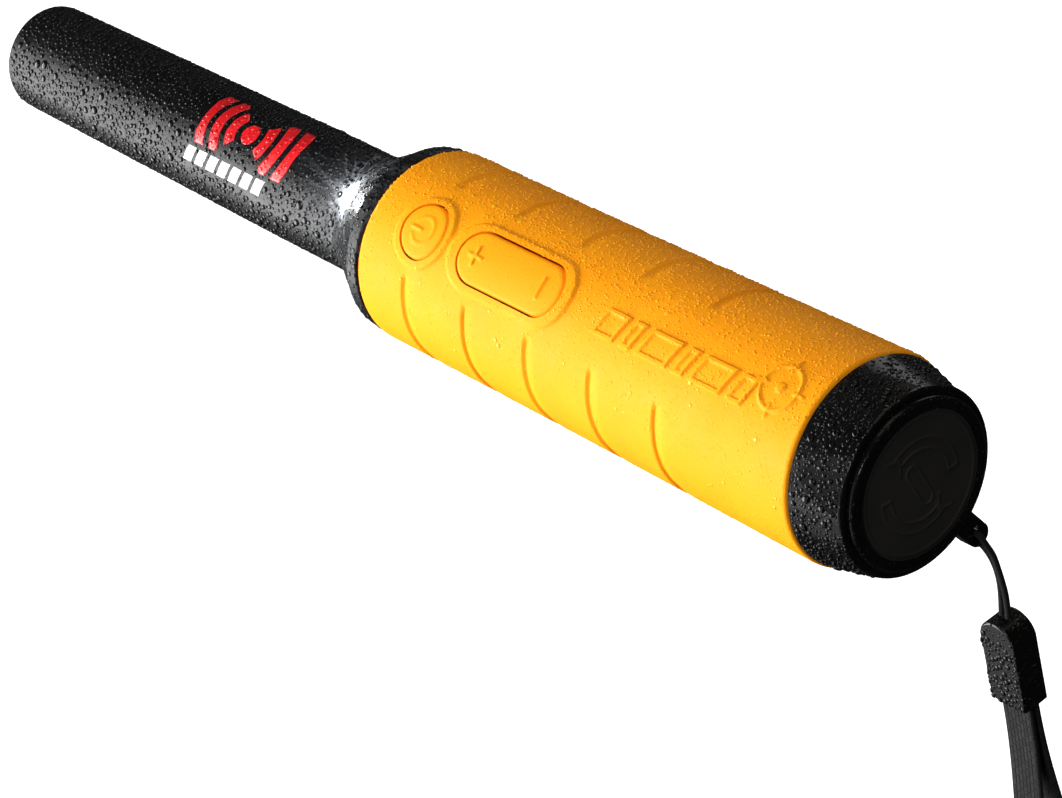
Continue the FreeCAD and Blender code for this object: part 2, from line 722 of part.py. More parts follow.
def make_cap_fittings():
    """The seal ring, the cushion that presses on the battery and the inlaid end disc."""
    ring = doc.addObject("Part::Torus", "cap_ring")
    bind(ring, Radius1="plug_radius - 0.1", Radius2="0.42")
    place(ring, (REAR + " - 1.2", "0", "0"), ALONG["X"])
    keep("cap_seal_ring", whole("cap_ring_part", ring))
    pad = rod("cap_pad", "plug_bore - 0.6", "5.5", (REAR + " + 0.5", "0", "0"))
    keep("battery_cushion", whole("cap_pad_part", pad))
    disc = rod("end_disc", "disc_radius", "disc_depth - 0.35",
               (REAR + " + cap_length - disc_depth", "0", "0"))
    keep("cap_end_disc", whole("end_disc_part", disc))


# ---------------------------------------------------------------- lanyard

def lanyard_frame():
    """The eye's place once the handle is rolled, and where the lanyard hangs."""
    roll = math.radians(value("roll_angle - cap_turn"))
    hole = value("eye_outer - 1.1 - eye_slot / 2 - 0.2")
    return Vector(value("eye_x"), hole * math.sin(roll), -hole * math.cos(roll))


def make_lanyard_cord():
    """A thin cord from the clamp through the eye and back, both ends inside the clamp's top."""
    top = value("clamp_top")
    y = value("lanyard_y")
    eye = lanyard_frame()
    x = eye.x
    points = [
        Vector(x - 0.75, y, top),
        Vector(x - 0.8, y + 0.75, top + 4),
        Vector(x - 0.9, y + 0.95, top + 8),
        Vector(x - 1.4, y + 0.5, top + 12),
        Vector(x - 2.35, y - 0.8, top + 15.8),
        Vector(x - 2.6, eye.y + 0.2, eye.z - 1.6),
        Vector(x - 1.7, eye.y, eye.z + 0.05),
        Vector(x + 1.7, eye.y, eye.z + 0.05),
        Vector(x + 2.6, eye.y + 0.2, eye.z - 1.6),
        Vector(x + 2.35, y - 2.1, top + 15.8),
        Vector(x + 1.4, y - 0.9, top + 12),
        Vector(x + 0.9, y - 0.05, top + 8),
        Vector(x + 0.8, y + 0.35, top + 4),
        Vector(x + 0.75, y, top),
    ]
    cord = tube_along("lanyard cord", points, value("cord_diameter / 2"))
    add_solids("lanyard_cord", [cord], rolled=False)


def make_lanyard_clamp():
    """The moulded clamp with an arched top, hanging plumb below the eye."""
    width, depth, height = value("clamp_width"), value("clamp_depth"), value("clamp_height")
    top = value("clamp_top")
    half = width / 2
    low = Vector(-half, -depth / 2, top - height)
    shoulder = top - half * 0.9
    outline = Part.Wire([
        Part.LineSegment(low, Vector(half, -depth / 2, top - height)).toShape(),
        Part.LineSegment(Vector(half, -depth / 2, top - height), Vector(half, -depth / 2, shoulder)).toShape(),
        Part.Arc(Vector(half, -depth / 2, shoulder), Vector(0, -depth / 2, top),
                 Vector(-half, -depth / 2, shoulder)).toShape(),
        Part.LineSegment(Vector(-half, -depth / 2, shoulder), low).toShape(),
    ])
    solid = Part.Face(outline).extrude(Vector(0, depth, 0))
    solid = solid.makeFillet(0.5, solid.Edges)
    solid.translate(Vector(value("eye_x"), value("lanyard_y"), 0))
    add_solids("lanyard_clamp", [solid], rolled=False)


STRAP_SIDE = (
    (0.75, 0), (0.75, -6), (1.4, -16), (3.2, -31), (6.9, -49), (12.1, -69.5), (17.6, -90),
    (21, -110), (18.5, -129), (9, -141.5),
)


def make_wrist_strap():
    """The webbing loop: one ribbon down from the clamp, round and back up."""
    base = Vector(value("eye_x"), value("lanyard_y"), value("clamp_top - clamp_height"))
    half = [Vector(0, y, z) for y, z in STRAP_SIDE]
    points = [base + p for p in half] + [base + Vector(0, -p.y, p.z) for p in reversed(half)]
    edges, radii = route_edges(points)
    path = Part.Wire(edges)
    width, thick = value("strap_width") / 2, value("strap_thickness") / 2
    start = points[0]
    turns = ((-1, -1), (1, -1), (1, 1), (-1, 1), (-1, -1))
    corners = [start + Vector(sx * width, sy * thick, 0) for sx, sy in turns]
    solid = path.makePipeShell([Part.makePolygon(corners)], True, True)
    expected = 4 * width * thick * path.Length
    print("wrist strap: length %.1f, least radius %.1f, volume ratio %.4f"
          % (path.Length, min(radii), solid.Volume / expected))
    add_solids("wrist_strap", [solid], rolled=False)


# ---------------------------------------------------------------- build

for make in (
    make_probe_tube, make_nose_seal, make_handle_core, make_grip_sleeve, make_keys, make_posts, make_switches,
    make_board, make_board_screws, make_chips, make_sled, make_motor, make_sounder, make_battery, make_torch,
    make_sensor, make_leads, make_cap, make_cap_fittings, make_lanyard_cord, make_lanyard_clamp,
    make_wrist_strap,
):
    make()

doc.recompute()
for obj in doc.Objects:
    if "Invalid" in obj.State or "Error" in obj.State:
        raise RuntimeError("%s failed: %s" % (obj.Label, obj.State))
for node, obj in NODES.items():
    if obj.Shape.isNull() or not obj.Shape.isValid():
        raise RuntimeError("%s has no valid shape" % node)
    box = obj.Shape.BoundBox
    print("%-20s solids %d volume %9.2f  x %7.1f..%6.1f y %6.1f..%5.1f z %6.1f..%5.1f" % (
        node, len(obj.Shape.Solids), obj.Shape.Volume, box.XMin, box.XMax, box.YMin, box.YMax, box.ZMin, box.ZMax))
    obj.Shape.exportStep("parts/%s.step" % node)
print("%d nodes" % len(NODES))
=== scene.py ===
import bmesh
import bpy
import math
import random
from mathutils import Matrix, Vector
from mathutils.bvhtree import BVHTree


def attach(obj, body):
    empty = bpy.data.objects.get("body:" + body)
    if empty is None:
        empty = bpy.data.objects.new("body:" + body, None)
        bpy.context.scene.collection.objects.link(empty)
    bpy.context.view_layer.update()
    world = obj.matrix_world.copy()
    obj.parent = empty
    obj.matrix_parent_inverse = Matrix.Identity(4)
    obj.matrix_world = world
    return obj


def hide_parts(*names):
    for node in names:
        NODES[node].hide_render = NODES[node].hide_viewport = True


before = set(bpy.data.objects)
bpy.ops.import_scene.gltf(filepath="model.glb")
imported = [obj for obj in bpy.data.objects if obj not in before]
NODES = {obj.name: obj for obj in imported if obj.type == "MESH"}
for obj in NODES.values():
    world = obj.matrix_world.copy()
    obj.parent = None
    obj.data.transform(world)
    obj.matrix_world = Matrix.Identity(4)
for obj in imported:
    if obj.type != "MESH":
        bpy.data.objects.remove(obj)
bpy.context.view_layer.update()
MM = 0.001

# The handle is rolled about X, so its keys face a little to -Y. Its own axes are X, KEY_SIDE and KEY_UP.
ROLL = math.radians(35)
KEY_UP = Vector((0, -math.sin(ROLL), math.cos(ROLL)))
KEY_SIDE = Vector((0, math.cos(ROLL), math.sin(ROLL)))


def on_handle(x, angle, radius):
    """A point of the handle in metres, from millimetres along X, radians from the key line and a radius."""
    out = KEY_UP * math.cos(angle) + KEY_SIDE * math.sin(angle)
    return (Vector((x, 0, 0)) + out * radius) * MM


# ---------------------------------------------------------------- camera

def add_camera():
    """A long lens from behind and above the cap, rolled as the probe is held."""
    azimuth, elevation, roll = math.radians(57.95), math.radians(34.46), math.radians(14.49)
    aim = Vector((-0.0387, 0, -0.0272))
    distance = 0.7311
    back = Vector((
        math.sin(azimuth) * math.cos(elevation),
        -math.cos(azimuth) * math.cos(elevation),
        math.sin(elevation),
    ))
    camera = bpy.data.objects.new("camera", bpy.data.cameras.new("camera"))
    bpy.context.scene.collection.objects.link(camera)
    camera.data.lens = 135.6
    camera.data.sensor_width = 36
    camera.rotation_mode = "QUATERNION"
    camera.location = aim + back * distance
    tilt = Matrix.Rotation(-roll, 3, "Z").to_quaternion()
    camera.rotation_quaternion = back.to_track_quat("Z", "Y") @ tilt
    bpy.context.scene.camera = camera
    return camera


camera = add_camera()


# ---------------------------------------------------------------- materials

def material(name, **sockets):
    """A Principled material with its plain values set, its node tree and its shader."""
    made = bpy.data.materials.new(name)
    made.use_nodes = True
    tree = made.node_tree
    shader = tree.nodes["Principled BSDF"]
    for socket, value in sockets.items():
        shader.inputs[socket.replace("_", " ")].default_value = value
    return made, tree, shader


def node(tree, kind, **values):
    made = tree.nodes.new(kind)
    for name, value in values.items():
        if hasattr(made, name):
            setattr(made, name, value)
        else:
            made.inputs[name.replace("_", " ")].default_value = value
    return made


def coordinates(tree, scale=(1, 1, 1)):
    """Object coordinates in metres, stretched by scale."""
    source = node(tree, "ShaderNodeTexCoord")
    mapping = node(tree, "ShaderNodeMapping")
    mapping.inputs["Scale"].default_value = scale
    tree.links.new(source.outputs["Object"], mapping.inputs["Vector"])
    return mapping.outputs["Vector"]


def noise(tree, place, scale, detail=4, roughness=0.55):
    made = node(tree, "ShaderNodeTexNoise", Scale=scale, Detail=detail, Roughness=roughness)
    tree.links.new(place, made.inputs["Vector"])
    return made.outputs["Fac"]


def ramp(tree, factor, stops):
    """A colour or grey ramp from (position, value) stops; a value is a grey or an RGB."""
    made = node(tree, "ShaderNodeValToRGB")
    elements = made.color_ramp.elements
    while len(elements) < len(stops):
        elements.new(0.5)
    for element, (position, value) in zip(elements, stops):
        element.position = position
        element.color = (*value, 1) if hasattr(value, "__len__") else (value, value, value, 1)
    tree.links.new(factor, made.inputs["Fac"])
    return made.outputs["Color"]


def bump(tree, shader, height, strength, distance):
    made = node(tree, "ShaderNodeBump", Strength=strength, Distance=distance)
    tree.links.new(height, made.inputs["Height"])
    before = shader.inputs["Normal"].links
    if before:
        tree.links.new(before[0].from_socket, made.inputs["Normal"])
    tree.links.new(made.outputs["Normal"], shader.inputs["Normal"])


def math_node(tree, operation, a, b, clamped=False):
    made = node(tree, "ShaderNodeMath", operation=operation, use_clamp=clamped)
    for socket, value in zip(made.inputs, (a, b)):
        if isinstance(value, (int, float)):
            socket.default_value = value
        else:
            tree.links.new(value, socket)
    return made.outputs["Value"]


def mist(tree, shader, place, scale, size, strength, depth):
    """The finest water: beads of many sizes, one in each random cell, too small to model."""
    cells = node(tree, "ShaderNodeTexVoronoi", Scale=scale)
    tree.links.new(place, cells.inputs["Vector"])
    split = node(tree, "ShaderNodeSeparateColor")
    tree.links.new(cells.outputs["Color"], split.inputs["Color"])
    reach = math_node(tree, "MULTIPLY", split.outputs["Red"], size)
    rise = math_node(tree, "SUBTRACT", reach, cells.outputs["Distance"], True)
    dome = math_node(tree, "POWER", math_node(tree, "DIVIDE", rise, size), 0.55)
    bump(tree, shader, dome, strength, depth)


def moulded(name, dark, light, rough, rough_spread, grain, grain_scale, misted=None, **sockets):
    """Moulded plastic or rubber: a drifting colour, uneven gloss and a fine moulded grain."""
    made, tree, shader = material(name, **sockets)
    place = coordinates(tree)
    cloud = noise(tree, place, 55, 3)
    tree.links.new(ramp(tree, cloud, [(0.3, dark), (0.7, light)]), shader.inputs["Base Color"])
    smear = noise(tree, place, 170, 5, 0.65)
    low, high = rough - rough_spread, rough + rough_spread
    tree.links.new(ramp(tree, smear, [(0.3, low), (0.72, high)]), shader.inputs["Roughness"])
    if grain:
        bump(tree, shader, noise(tree, place, grain_scale, 2), grain, 0.0001)
    if misted:
        mist(tree, shader, place, *misted)
    return made


def brushed(name, colour, rough, stretch=(1, 60, 60), metallic=1.0):
    """Metal with fine drawn lines along X and small changes in gloss."""
    made, tree, shader = material(name, Metallic=metallic)
    place = coordinates(tree, stretch)
    lines = noise(tree, place, 90, 4)
    dark = tuple(c * 0.75 for c in colour)
    tree.links.new(ramp(tree, lines, [(0.3, dark), (0.7, colour)]), shader.inputs["Base Color"])
    gloss = ramp(tree, lines, [(0.25, rough - 0.08), (0.75, rough + 0.1)])
    tree.links.new(gloss, shader.inputs["Roughness"])
    bump(tree, shader, lines, 0.15, 0.00005)
    return made


def wound(name, colour, pitch):
    """Enamelled wire wound round X: a ridge for each turn, with painted shade darkening the creases between
    turns.
    """
    made, tree, shader = material(name, Metallic=0.9)
    place = coordinates(tree)
    wave = node(tree, "ShaderNodeTexWave", Scale=0.5 / pitch, Distortion=0.4)
    wave.bands_direction = "X"
    tree.links.new(place, wave.inputs["Vector"])
    # painted shade: the colour falls to 0.35 of the wire's in the creases between turns
    dark = tuple(c * 0.35 for c in colour)
    tint = ramp(tree, wave.outputs["Fac"], [(0.05, dark), (0.5, colour)])
    tree.links.new(tint, shader.inputs["Base Color"])
    gloss = ramp(tree, noise(tree, place, 300), [(0.3, 0.22), (0.7, 0.4)])
    tree.links.new(gloss, shader.inputs["Roughness"])
    bump(tree, shader, wave.outputs["Fac"], 0.6, 0.0002)
    return made


def decay(tree, value, rate):
    """A level that falls from 1 as value grows."""
    return math_node(tree, "POWER", 2.718, math_node(tree, "MULTIPLY", value, rate))


TORCH = (-70.4, 13.0)      # the middle of the lens's face along X and out from the axis, in millimetres


def painted_torch_glow(made, strength):
    """A painted glow in the shell's own emission, for the torch's light scattered in the film of water round
    it: a soft core and fine streaks leaving it.
    """
    tree = made.node_tree
    shader = tree.nodes["Principled BSDF"]
    away = node(tree, "ShaderNodeVectorMath", operation="SUBTRACT")
    away.inputs[1].default_value = on_handle(TORCH[0], 0, TORCH[1])
    tree.links.new(coordinates(tree), away.inputs[0])
    length = node(tree, "ShaderNodeVectorMath", operation="LENGTH")
    tree.links.new(away.outputs["Vector"], length.inputs[0])
    aim = node(tree, "ShaderNodeVectorMath", operation="NORMALIZE")
    tree.links.new(away.outputs["Vector"], aim.inputs[0])
    far = math_node(tree, "DIVIDE", length.outputs["Value"], MM)
    core = decay(tree, math_node(tree, "POWER", far, 2.0), -0.11)
    halo = decay(tree, far, -0.30)
    rays = ramp(tree, noise(tree, aim.outputs["Vector"], 7, 3, 0.7), [(0.50, 0.12), (0.62, 1.0)])
    streaks = math_node(tree, "MULTIPLY", halo, rays)
    level = math_node(tree, "ADD", math_node(tree, "MULTIPLY", core, 1.2), streaks)
    level = math_node(tree, "MULTIPLY", level, strength)
    tree.links.new(level, shader.inputs["Emission Strength"])
    shader.inputs["Emission Color"].default_value = (0.88, 0.94, 1.0, 1)


SHELL = moulded("wet_black_shell", (0.0015, 0.0015, 0.002), (0.0035, 0.0035, 0.004), 0.40, 0.06, 0.12, 2600,
                (2300, 0.5, 0.35, 0.00012), Specular_IOR_Level=0.14)
# painted glow: the shell emits a soft core and fine streaks round the torch's lens
painted_torch_glow(SHELL, 2.4)
YELLOW = moulded("wet_yellow_grip", (0.95, 0.325, 0.003), (1.0, 0.365, 0.004), 0.6, 0.07, 0.16, 2200,
                 (2300, 0.5, 0.45, 0.0002), Specular_IOR_Level=0.10)
CAP = moulded("cap_black", (0.0025, 0.0025, 0.0025), (0.006, 0.006, 0.0065), 0.22, 0.06, 0.2, 2400,
              (1500, 0.6, 0.9, 0.0003), Specular_IOR_Level=0.14)
DISC = moulded("disc_sparked", (0.020, 0.0195, 0.018), (0.034, 0.033, 0.030), 0.66, 0.08, 0.8, 3200,
               Specular_IOR_Level=0.35)
CLAMP = moulded("clamp_black", (0.002, 0.002, 0.002), (0.005, 0.005, 0.005), 0.22, 0.06, 0.12, 2600,
                (1500, 0.6, 0.9, 0.0003), Specular_IOR_Level=0.22)
WATER_DARK = moulded("water_on_black", (0.002, 0.002, 0.0025), (0.005, 0.005, 0.006), 0.08, 0.02, 0, 1,
                     Specular_IOR_Level=0.16)
# painted highlight: the beads' yellow is lighter than the grip's, so that they read as specks catching the
# light
WATER_YELLOW_PAINTED_HIGHLIGHT = moulded("water_on_yellow_painted_highlight", (1.0, 0.41, 0.006), (1.0, 0.46, 0.010), 0.2, 0.04, 0, 1,
                       Specular_IOR_Level=0.2)
WATER_RED = moulded("water_on_red", (0.50, 0.004, 0.008), (0.68, 0.010, 0.016), 0.10, 0.03, 0, 1,
                    Specular_IOR_Level=0.4)
WATER_WHITE = moulded("water_on_white", (0.62, 0.63, 0.63), (0.84, 0.85, 0.85), 0.10, 0.03, 0, 1,
                      Specular_IOR_Level=0.4)
RED_PRINT = moulded("red_print", (0.48, 0.003, 0.006), (0.66, 0.006, 0.010), 0.38, 0.06, 0.1, 2400,
                    (1700, 0.5, 0.5, 0.00012))
WHITE_PRINT = moulded("white_print", (0.72, 0.73, 0.73), (0.86, 0.87, 0.87), 0.42, 0.06, 0.1, 2400,
                      (1700, 0.5, 0.3, 0.0001))


def woven(name, dark, light, yarn_wide, yarn_long, strength):
    """Webbing or braid: short raised yarn floats in brick bond, by the piece's own UV in metres."""
    made, tree, shader = material(name, Roughness=0.85, Sheen_Weight=0.08, Sheen_Roughness=0.45,
                                   Specular_IOR_Level=0.2)
    shader.inputs["Sheen Tint"].default_value = (0.5, 0.5, 0.5, 1)
    source = node(tree, "ShaderNodeUVMap", uv_map="weave")
    bricks = node(tree, "ShaderNodeTexBrick", Scale=1, Mortar_Size=yarn_wide * 0.16, Mortar_Smooth=0.9,
                  Brick_Width=yarn_long, Row_Height=yarn_wide, Bias=0.2)
    bricks.inputs["Color1"].default_value = (*dark, 1)
    bricks.inputs["Color2"].default_value = (*light, 1)
    bricks.inputs["Mortar"].default_value = (0.0015, 0.0015, 0.0015, 1)
    tree.links.new(source.outputs["UV"], bricks.inputs["Vector"])
    tree.links.new(bricks.outputs["Color"], shader.inputs["Base Color"])
    bump(tree, shader, ramp(tree, bricks.outputs["Fac"], [(0, 1), (1, 0)]), strength, yarn_wide * 0.35)
    return made


def glowing(name, colour, strength):
    made, tree, shader = material(name, Emission_Strength=strength, Roughness=0.08)
    place = coordinates(tree)
    tint = ramp(tree, noise(tree, place, 900, 2), [(0.2, tuple(c * 0.9 for c in colour)), (0.8, colour)])
    tree.links.new(tint, shader.inputs["Base Color"])
    tree.links.new(tint, shader.inputs["Emission Color"])
    return made


def dress(node_name, made):
    """Gives a CAD node one material."""
    mesh = NODES[node_name].data
    mesh.materials.clear()
    mesh.materials.append(made)


# ---------------------------------------------------------------- cords and strap

EYE_X, LANYARD_Y, CLAMP_TOP, CLAMP_HEIGHT = 66.6, 14.0, -37.8, 18.0
EYE_Y, EYE_Z = 10.30, -17.14

CORD_ROUTE = (
    (-0.75, 0, 0), (-0.8, 0.75, 4), (-0.9, 0.95, 8), (-1.4, 0.5, 12), (-2.35, -0.8, 15.8),
    (-2.6, EYE_Y - LANYARD_Y + 0.2, EYE_Z - CLAMP_TOP - 1.6),
    (-1.7, EYE_Y - LANYARD_Y, EYE_Z - CLAMP_TOP + 0.05),
    (1.7, EYE_Y - LANYARD_Y, EYE_Z - CLAMP_TOP + 0.05),
    (2.6, EYE_Y - LANYARD_Y + 0.2, EYE_Z - CLAMP_TOP - 1.6),
    (2.35, -2.1, 15.8), (1.4, -0.9, 12), (0.9, -0.05, 8), (0.8, 0.35, 4), (0.75, 0, 0),
)
STRAP_SIDE = (
    (0.75, 0), (0.75, -6), (1.4, -16), (3.2, -31), (6.9, -49), (12.1, -69.5), (17.6, -90),
    (21, -110), (18.5, -129), (9, -141.5),
)


def smooth_path(points):
    """The points of the NURBS line that the route's points control."""
    curve = bpy.data.curves.new("route", "CURVE")
    curve.dimensions = "3D"
    curve.resolution_u = 14
    spline = curve.splines.new("NURBS")
    spline.points.add(len(points) - 1)
    for point, place in zip(spline.points, points):
        point.co = (*place, 1)
    spline.order_u = 3
    spline.use_endpoint_u = True
    holder = bpy.data.objects.new("route", curve)
    bpy.context.scene.collection.objects.link(holder)
    bpy.context.view_layer.update()
    mesh = bpy.data.meshes.new_from_object(holder)
    path = [v.co.copy() for v in mesh.vertices]
    bpy.data.objects.remove(holder)
    bpy.data.curves.remove(curve)
    bpy.data.meshes.remove(mesh)
    return path


def swept(name, path, section, side):
    """A closed skin of a section swept along a path. side is the section's first axis, kept level."""
    verts, faces, marks = [], [], []
    count = len(section)
    run = 0.0
    edge = [0.0]
    for a, b in zip(section, section[1:] + section[:1]):
        edge.append(edge[-1] + math.dist(a, b))
    for i, point in enumerate(path):
        ahead = path[min(i + 1, len(path) - 1)] - path[max(i - 1, 0)]
        ahead.normalize()
        across = side - ahead * side.dot(ahead)
        across.normalize()
        out = ahead.cross(across)
        if i:
            run += (point - path[i - 1]).length
        marks.append(run)
        verts += [point + across * p + out * q for p, q in section]
    for i in range(len(path) - 1):
        for k in range(count):
            n = (k + 1) % count
            faces.append((i * count + k, i * count + n, (i + 1) * count + n, (i + 1) * count + k))
    faces.append(tuple(reversed(range(count))))
    faces.append(tuple(range((len(path) - 1) * count, len(path) * count)))
    mesh = bpy.data.meshes.new(name)
    mesh.from_pydata(verts, [], faces)
    layer = mesh.uv_layers.new(name="weave")
    for face in mesh.polygons[:-2]:
        row, k = divmod(face.index, count)
        left, right = edge[k], edge[k + 1]
        near, far = marks[row], marks[row + 1]
        for loop, place in zip(face.loop_indices, ((near, left), (near, right), (far, right), (far, left))):
            layer.data[loop].uv = place
    mesh.shade_smooth()
    made = bpy.data.objects.new(name, mesh)
    bpy.context.scene.collection.objects.link(made)
    return made


def round_section(radius, count):
    turns = [math.tau * k / count for k in range(count)]
    return [(radius * math.cos(turn), radius * math.sin(turn)) for turn in turns]


def band_section(width, thick, count):
    """A flat band with rounded selvedges."""
    section = []
    flat = width / 2 - thick / 2
    steps = 12
    for end in (1, -1):
        for k in range(count + 1):
            turn = math.pi * (k / count - 0.5)
            section.append((end * (flat + math.cos(turn) * thick / 2), end * math.sin(turn) * thick / 2))
        for k in range(1, steps):
            section.append((end * (flat - 2 * flat * k / steps), end * thick / 2))
    return section


def add_lanyard():
    """The doubled cord through the eye, and the loop of webbing under the clamp."""
    base = Vector((EYE_X, LANYARD_Y, CLAMP_TOP)) * MM
    route = [base + Vector(p) * MM for p in CORD_ROUTE]
    path = smooth_path(route)
    cord = swept("lanyard_braid", path, round_section(0.55 * MM, 12), Vector((0.2, 1, 0.1)))
    cord.data.materials.append(woven("cord_weave", (0.004, 0.004, 0.0045), (0.009, 0.009, 0.0095),
                                     0.00030, 0.00062, 0.7))
    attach(cord, "lanyard_loop")
    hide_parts("lanyard_cord")
    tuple(route[0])
    base = Vector((EYE_X, LANYARD_Y, CLAMP_TOP - CLAMP_HEIGHT)) * MM
    half = [base + Vector((0, y, z)) * MM for y, z in STRAP_SIDE]
    route = half + [base + Vector((0, -y, z)) * MM for y, z in reversed(STRAP_SIDE)]
    path = smooth_path(route)
    strap = swept("wrist_webbing", path, band_section(7 * MM, 1.1 * MM, 6), Vector((1, 0, 0)))
    strap.data.materials.append(woven("strap_weave", (0.008, 0.008, 0.0085), (0.020, 0.020, 0.021),
                                      0.00085, 0.0017, 1.0))
    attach(strap, "strap")
    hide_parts("wrist_strap")
    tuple(route[0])


add_lanyard()


# ---------------------------------------------------------------- the grip's surface

GRIP_HALF = 57.2
UNROLL = 18.5          # radius at which the grip is unrolled, for the relief's sizes
POWER_X, ROCKER_X = -42.2, -18.2
CORE = 17.0            # the housing under the grip
GRID = 0.26            # spacing of the fine surface grids


def to_segment(p, q, half):
    """Distance from the middle line of an oblong whose straight part is half long each way."""
    return math.hypot(max(abs(p) - half, 0), q)


def power_edge(x, across, radius=5.56):
    return math.hypot(x - POWER_X, across) - radius


def rocker_edge(x, across, half=13.76, radius=5.26):
    return to_segment(x - ROCKER_X, across, half - radius) - radius


def ridge(distance, half_width, height):
    """A rounded ridge either side of a line."""
    t = abs(distance) / half_width
    return height * (1 - t * t) ** 1.5 if t < 1 else 0.0


def step(distance, soft, height):
    """A flat-topped raised shape: full inside its outline, gone outside it, with a soft edge."""
    t = min(max(0.5 - distance / soft, 0), 1)
    return height * t * t * (3 - 2 * t)


def slanted_bar(x, across, middle, half_width, half_height, lean):
    return max(abs(x - middle - across * lean) - half_width, abs(across) - half_height)


MOTIF_BARS = ((6.2, 5.6), (13.4, 2.6), (17.6, 7.6), (26.8, 2.6), (31.0, 7.6), (40.2, 3.6))


def motif(x, across):
    """Raised pattern behind the keys: a row of slanted bars, then a ring with cross hairs."""
    height = 0.0
    for low, long in MOTIF_BARS:
        if low - 2 < x < low + long + 2 and abs(across + 0.3) < 3.2:
            bar = slanted_bar(x, across + 0.3, low + long / 2, long / 2, 2.6, 0.32)
            height = max(height, step(bar, 0.28, 0.42) - step(bar + 0.8, 0.28, 0.30))
    p, q = x - 48.8, across - 2.6
    out = math.hypot(p, q)
    if out < 6:
        height = max(height, ridge(out - 4.0, 0.5, 0.34), step(out - 0.9, 0.3, 0.3))
        ticks = [max(abs(a) - 0.28, abs(abs(b) - 4.2) - 1.2) for a, b in ((p, q), (q, p))]
        height = max(height, step(min(ticks), 0.25, 0.3))
    return height


def rims(x, across):
    """The raised rims round the two keys, joined in a figure of eight."""
    power, rocker = power_edge(x, across, 7.0), rocker_edge(x, across, 16.15, 6.7)
    blend = max(1.6 - abs(power - rocker), 0)
    return step(min(power, rocker) - blend * blend / 6.4, 0.75, 0.42)


def grip_radius(x, angle):
    """Outside radius of the grip: its waist, rounded ends, finger grooves, key rims and motif."""
    t = x / GRIP_HALF
    radius = 18.4 + 0.3 * t + 0.2 * t * t
    for edge, size in ((x + GRIP_HALF, 1.3), (GRIP_HALF - x, 0.8)):
        if edge < size:
            radius -= size - math.sqrt(max(size * size - (size - edge) ** 2, 0))
    turn = math.degrees(abs(angle))
    if turn > 31:
        fade = min((turn - 31) / 5, 1)
        fade = fade * fade * (3 - 2 * fade)
        for i in range(5):
            gap = x - (17 * i - 43.5)
            width = 0.32 if gap < 0 else 1.5
            if abs(gap) < 5:
                radius -= 0.46 * fade * math.exp(-(gap / width) ** 2)
    if turn < 30:
        across = UNROLL * angle
        radius += max(rims(x, across), motif(x, across))
    return radius


def spread(low, high, pitch):
    count = max(round((high - low) / pitch), 1)
    return [low + (high - low) * i / count for i in range(count + 1)]


def trimmed(edge, x, angle, unroll, reach):
    """Moves a grid point that lies near an outline onto it, and says whether it lies outside."""
    across = unroll * angle
    distance = edge(x, across)
    if abs(distance) <= reach:
        h = 0.01
        gx = (edge(x + h, across) - edge(x - h, across)) / (2 * h)
        ga = (edge(x, across + h) - edge(x, across - h)) / (2 * h)
        off = distance / max(gx * gx + ga * ga, 0.2)
        return x - off * gx, angle - off * ga / unroll, False
    return x, angle, distance > reach


def tidy_mesh(mesh, merge=False):
    """Drops loose vertices and turns every face outwards."""
    shaped = bmesh.new()
    shaped.from_mesh(mesh)
    bmesh.ops.delete(shaped, geom=[v for v in shaped.verts if not v.link_faces], context="VERTS")
    if merge:
        bmesh.ops.remove_doubles(shaped, verts=shaped.verts, dist=1e-7)
    bmesh.ops.recalc_face_normals(shaped, faces=shaped.faces)
    shaped.to_mesh(mesh)
    shaped.free()
    mesh.shade_smooth()


def placed(name, mesh, made, body):
    """A mesh as a scene object in one material, riding a body."""
    piece = bpy.data.objects.new(name, mesh)
    bpy.context.scene.collection.objects.link(piece)
    mesh.materials.append(made)
    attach(piece, body)
    return piece


def unrolled_patch(name, xs, angles, edge, radius, foot, made, body):
    """A relief on the handle, trimmed at an outline, with walls from the outline down to foot(x, angle)."""
    verts, outside, places = [], [], []
    for x in xs:
        for angle in angles:
            px, pa, gone = trimmed(edge, x, angle, UNROLL, 0.6 * GRID)
            outside.append(gone)
            places.append((px, pa))
            verts.append(on_handle(px, pa, radius(px, pa)))
    faces = []
    columns = len(angles)
    closed = abs(angles[-1] - angles[0] - math.tau) < 1e-6
    for i in range(len(xs) - 1):
        for k in range(columns - 1):
            n = k + 1 if not (closed and k == columns - 2) else 0
            corners = [i * columns + k, i * columns + n, (i + 1) * columns + n, (i + 1) * columns + k]
            kept = tuple(c for c in corners if not outside[c])
            if len(kept) > 2:
                faces.append(kept)
    border = {}
    for face in faces:
        for a, b in zip(face, face[1:] + face[:1]):
            if (b, a) in border:
                del border[(b, a)]
            else:
                border[(a, b)] = True
    low = {}
    for a, b in border:
        for end in (a, b):
            if end not in low:
                low[end] = len(verts)
                verts.append(foot(*places[end]))
        faces.append((b, a, low[a], low[b]))
    mesh = bpy.data.meshes.new(name)
    mesh.from_pydata(verts, [], faces)
    tidy_mesh(mesh, merge=True)
    mesh.set_sharp_from_angle(angle=math.radians(42))
    return placed(name, mesh, made, body)


def window_edge(x, across):
    """How far a point lies inside a key window, or a fixed way outside for points far round the handle."""
    return -min(power_edge(x, across), rocker_edge(x, across)) if abs(across) < 9 else -5


def grip_foot(x, angle):
    """Where the grip's edge walls end: straight under the edge, so that a key can be pressed past them."""
    across = grip_radius(x, angle) * math.sin(angle)
    if abs(x) < GRIP_HALF and abs(across) < CORE:
        angle = math.asin(across / CORE)
    return on_handle(x, angle, CORE)


